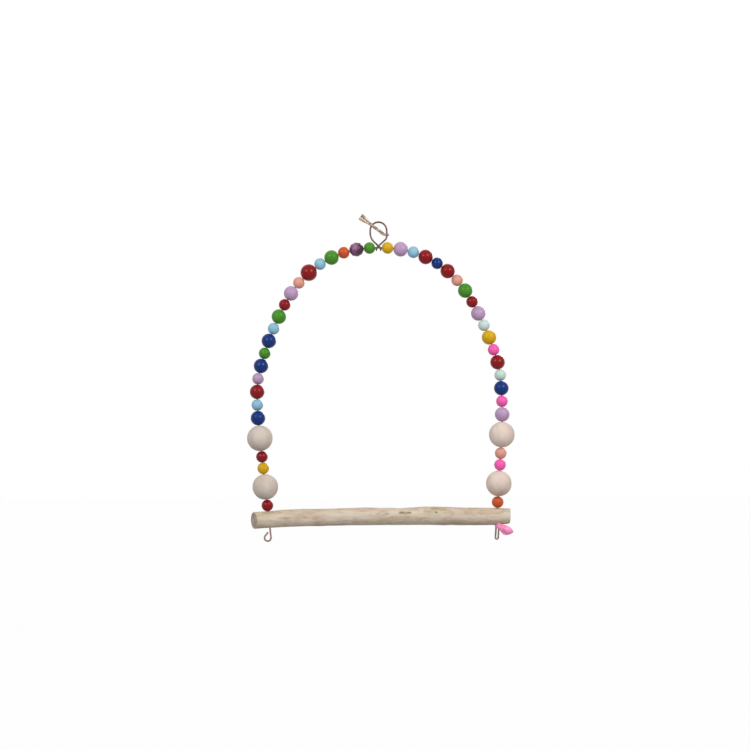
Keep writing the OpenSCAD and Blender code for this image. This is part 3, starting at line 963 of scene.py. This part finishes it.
def make_ribbon():
    """A gathered scrap: round the hairpin, pinched in front of it, then a puffed tail."""
    foot, down = FOOT[1]
    out = Vector((-down.z, 0, down.x))
    under = foot + down * 2 * HOLE_R[1]
    bend = LOOPS[1][1]
    rows = []
    for k in range(RIBBON_WRAP):
        turn = RIBBON_WRAP_TURN[0] + RIBBON_WRAP_TURN[1] * k
        front = smooth_step((turn - 180) / 95)
        rows.append((
            bend + RIBBON_WRAP_AXES[0] * cosd(turn),
            RIBBON_WRAP_AXES[1] * (1 + 2 * front) * sind(turn),
            lerp(-0.8, 0.7, front), lerp(-2.4, -2.9, front), lerp(0.06, 0.12, front), 0.5 * front,
        ))
    for a, b in zip(RIBBON_FRONT, RIBBON_FRONT[1:]):
        rows += [tuple(lerp(u, v, k / 6) for u, v in zip(a, b)) for k in range(6)]
    rows.append(RIBBON_FRONT[-1])
    for _ in range(6):
        rows = [rows[0]] + [
            tuple((u + 2 * v + w) / 4 for u, v, w in zip(*rows[k - 1:k + 2]))
            for k in range(1, len(rows) - 1)
        ] + [rows[-1]]
    last = len(rows) - 1
    columns = RIBBON_COLUMNS
    length = 0.0
    verts = []
    for k, (x, y, top, bottom, pleat, puff) in enumerate(rows):
        before, after = Vector(rows[max(k - 1, 0)][:2]), Vector(rows[min(k + 1, last)][:2])
        step = (after - before).normalized()
        if k > 0:
            length += (Vector(rows[k][:2]) - before).length
        free, over = RIBBON_TIP_RUN
        open_share = max(0.0, (x - free) / over) ** 2 if k > RIBBON_WRAP else 0.0
        for j in range(columns + 1):
            v = j / columns
            wobble = noise.noise(Vector((length * 0.35, v * 2.2, 2.0)))
            shift = pleat * sind(360 * (RIBBON_WAVES * v + 0.03 * length + 0.35 * wobble))
            shift += puff * sind(180 * v) * (1 + 0.4 * wobble)
            tip = v / RIBBON_TIP_AT if v < RIBBON_TIP_AT else (1 - v) / (1 - RIBBON_TIP_AT)
            along = x + step.y * shift + RIBBON_TIP * tip * open_share
            if k == last:
                along += 0.25 * noise.noise(Vector((v * 14, 1.0, 0.0)))
            depth = y - step.x * shift
            verts.append(under + out * along + Vector((0, depth, 0)) - down * lerp(top, bottom, v))
    faces = []
    for k in range(last):
        for j in range(columns):
            a = k * (columns + 1) + j
            faces.append((a, a + 1, a + columns + 2, a + columns + 1))
    piece = make_piece("ribbon_scrap_cloth", verts, faces, "ribbon_scrap", satin())
    thick = piece.modifiers.new("cloth", "SOLIDIFY")
    thick.thickness = RIBBON_THICK * MM
    thick.offset = 0.0


# Camera, lamps and floor

VIEW_WIDTH = 508.3
VIEW_MIDDLE = (-3.02, 0.0, -103.0)
VIEW_ROLL = 0.4
LENS = 85.0
SENSOR = 36.0
# Direction from the swing, distance and size in metres, watts, colour
LAMPS = {
    "lamp_key": ((0.55, -0.68, 0.48), 0.9, 0.3, 3.7, (1.0, 0.98, 0.95)),
    "lamp_fill": ((-0.55, -0.68, 0.48), 0.9, 0.3, 2.8, (0.98, 0.99, 1.0)),
    "lamp_back": ((0.25, 0.9, 0.2), 1.1, 0.4, 3.2, (1.0, 0.99, 0.97)),
}
LAMP_AIM = (0, 0, -0.1)
WORLD_LIGHT = (0.95, 0.97, 1.0)
WORLD_STRENGTH = 0.48
FLOOR_Z = -0.6
FLOOR_HALF = 6.0
# Share of the seen floor that is plain white; the rest is lit and takes the shadow
FLOOR_WHITE = 0.985


def make_camera():
    distance = LENS / SENSOR * VIEW_WIDTH
    data = bpy.data.cameras.new("camera")
    data.lens = LENS
    data.sensor_width = SENSOR
    data.clip_start = 0.01
    camera = bpy.data.objects.new("camera", data)
    bpy.context.scene.collection.objects.link(camera)
    camera.location = (Vector(VIEW_MIDDLE) - Vector((0, distance, 0))) * MM
    camera.rotation_euler = (math.radians(90), math.radians(VIEW_ROLL), 0)
    bpy.context.scene.camera = camera


def lamp(name, toward, distance, size, energy, color):
    """A square soft box that looks at the middle of the swing from a direction."""
    data = bpy.data.lights.new(name, "AREA")
    data.shape = "SQUARE"
    data.size = size
    data.energy = energy
    data.color = color
    obj = bpy.data.objects.new(name, data)
    bpy.context.scene.collection.objects.link(obj)
    away = Vector(toward).normalized()
    obj.location = Vector(LAMP_AIM) + away * distance
    obj.rotation_euler = away.to_track_quat("Z", "Y").to_euler()


def seen_rays(tree):
    """1 for the rays that see the white background: camera, glossy and transmission."""
    path = tree.nodes.new("ShaderNodeLightPath")
    seen = path.outputs["Is Camera Ray"]
    for ray in ("Is Glossy Ray", "Is Transmission Ray"):
        either = tree.nodes.new("ShaderNodeMath")
        either.operation = "MAXIMUM"
        tree.links.new(seen, either.inputs[0])
        tree.links.new(path.outputs[ray], either.inputs[1])
        seen = either.outputs[0]
    return seen


def make_world():
    world = bpy.data.worlds.new("studio")
    bpy.context.scene.world = world
    world.use_nodes = True
    tree = world.node_tree
    tree.nodes.clear()
    mix = tree.nodes.new("ShaderNodeMixShader")
    tree.links.new(seen_rays(tree), mix.inputs[0])
    for slot, color, strength in (1, WORLD_LIGHT, WORLD_STRENGTH), (2, (1.0, 1.0, 1.0), 1.0):
        light = tree.nodes.new("ShaderNodeBackground")
        light.inputs["Color"].default_value = (*color, 1.0)
        light.inputs["Strength"].default_value = strength
        tree.links.new(light.outputs[0], mix.inputs[slot])
    out = tree.nodes.new("ShaderNodeOutputWorld")
    tree.links.new(mix.outputs[0], out.inputs["Surface"])


def make_floor():
    mesh = bpy.data.meshes.new("floor")
    corners = ((-1, -1), (1, -1), (1, 1), (-1, 1))
    mesh.from_pydata(
        [(x * FLOOR_HALF, y * FLOOR_HALF, FLOOR_Z) for x, y in corners], [], [(0, 1, 2, 3)]
    )
    floor = bpy.data.objects.new("floor", mesh)
    bpy.context.scene.collection.objects.link(floor)
    look = Look("floor_paper", Roughness=0.9, Specular_IOR_Level=0.1)
    tree = look.tree
    grain = look.noise(40.0, detail=2.0)
    look.color(look.ramp(grain, [(0.3, (0.5, 0.5, 0.5)), (0.7, (0.54, 0.54, 0.54))]))
    share = look.add(
        "ShaderNodeMath", {0: seen_rays(tree), 1: FLOOR_WHITE}, operation="MULTIPLY"
    )
    white = look.add("ShaderNodeEmission")
    mix = look.add("ShaderNodeMixShader", {0: share.outputs[0]})
    tree.links.new(look.shader.outputs[0], mix.inputs[1])
    tree.links.new(white.outputs[0], mix.inputs[2])
    tree.links.new(mix.outputs[0], tree.nodes["Material Output"].inputs["Surface"])
    mesh.materials.append(look.material)


make_camera()
make_world()
make_floor()
for lamp_name, values in LAMPS.items():
    lamp(lamp_name, *values)
make_beads()
make_wires()
make_tie()
make_perch()
make_ribbon()

bpy.context.scene.view_settings.view_transform = "Standard"
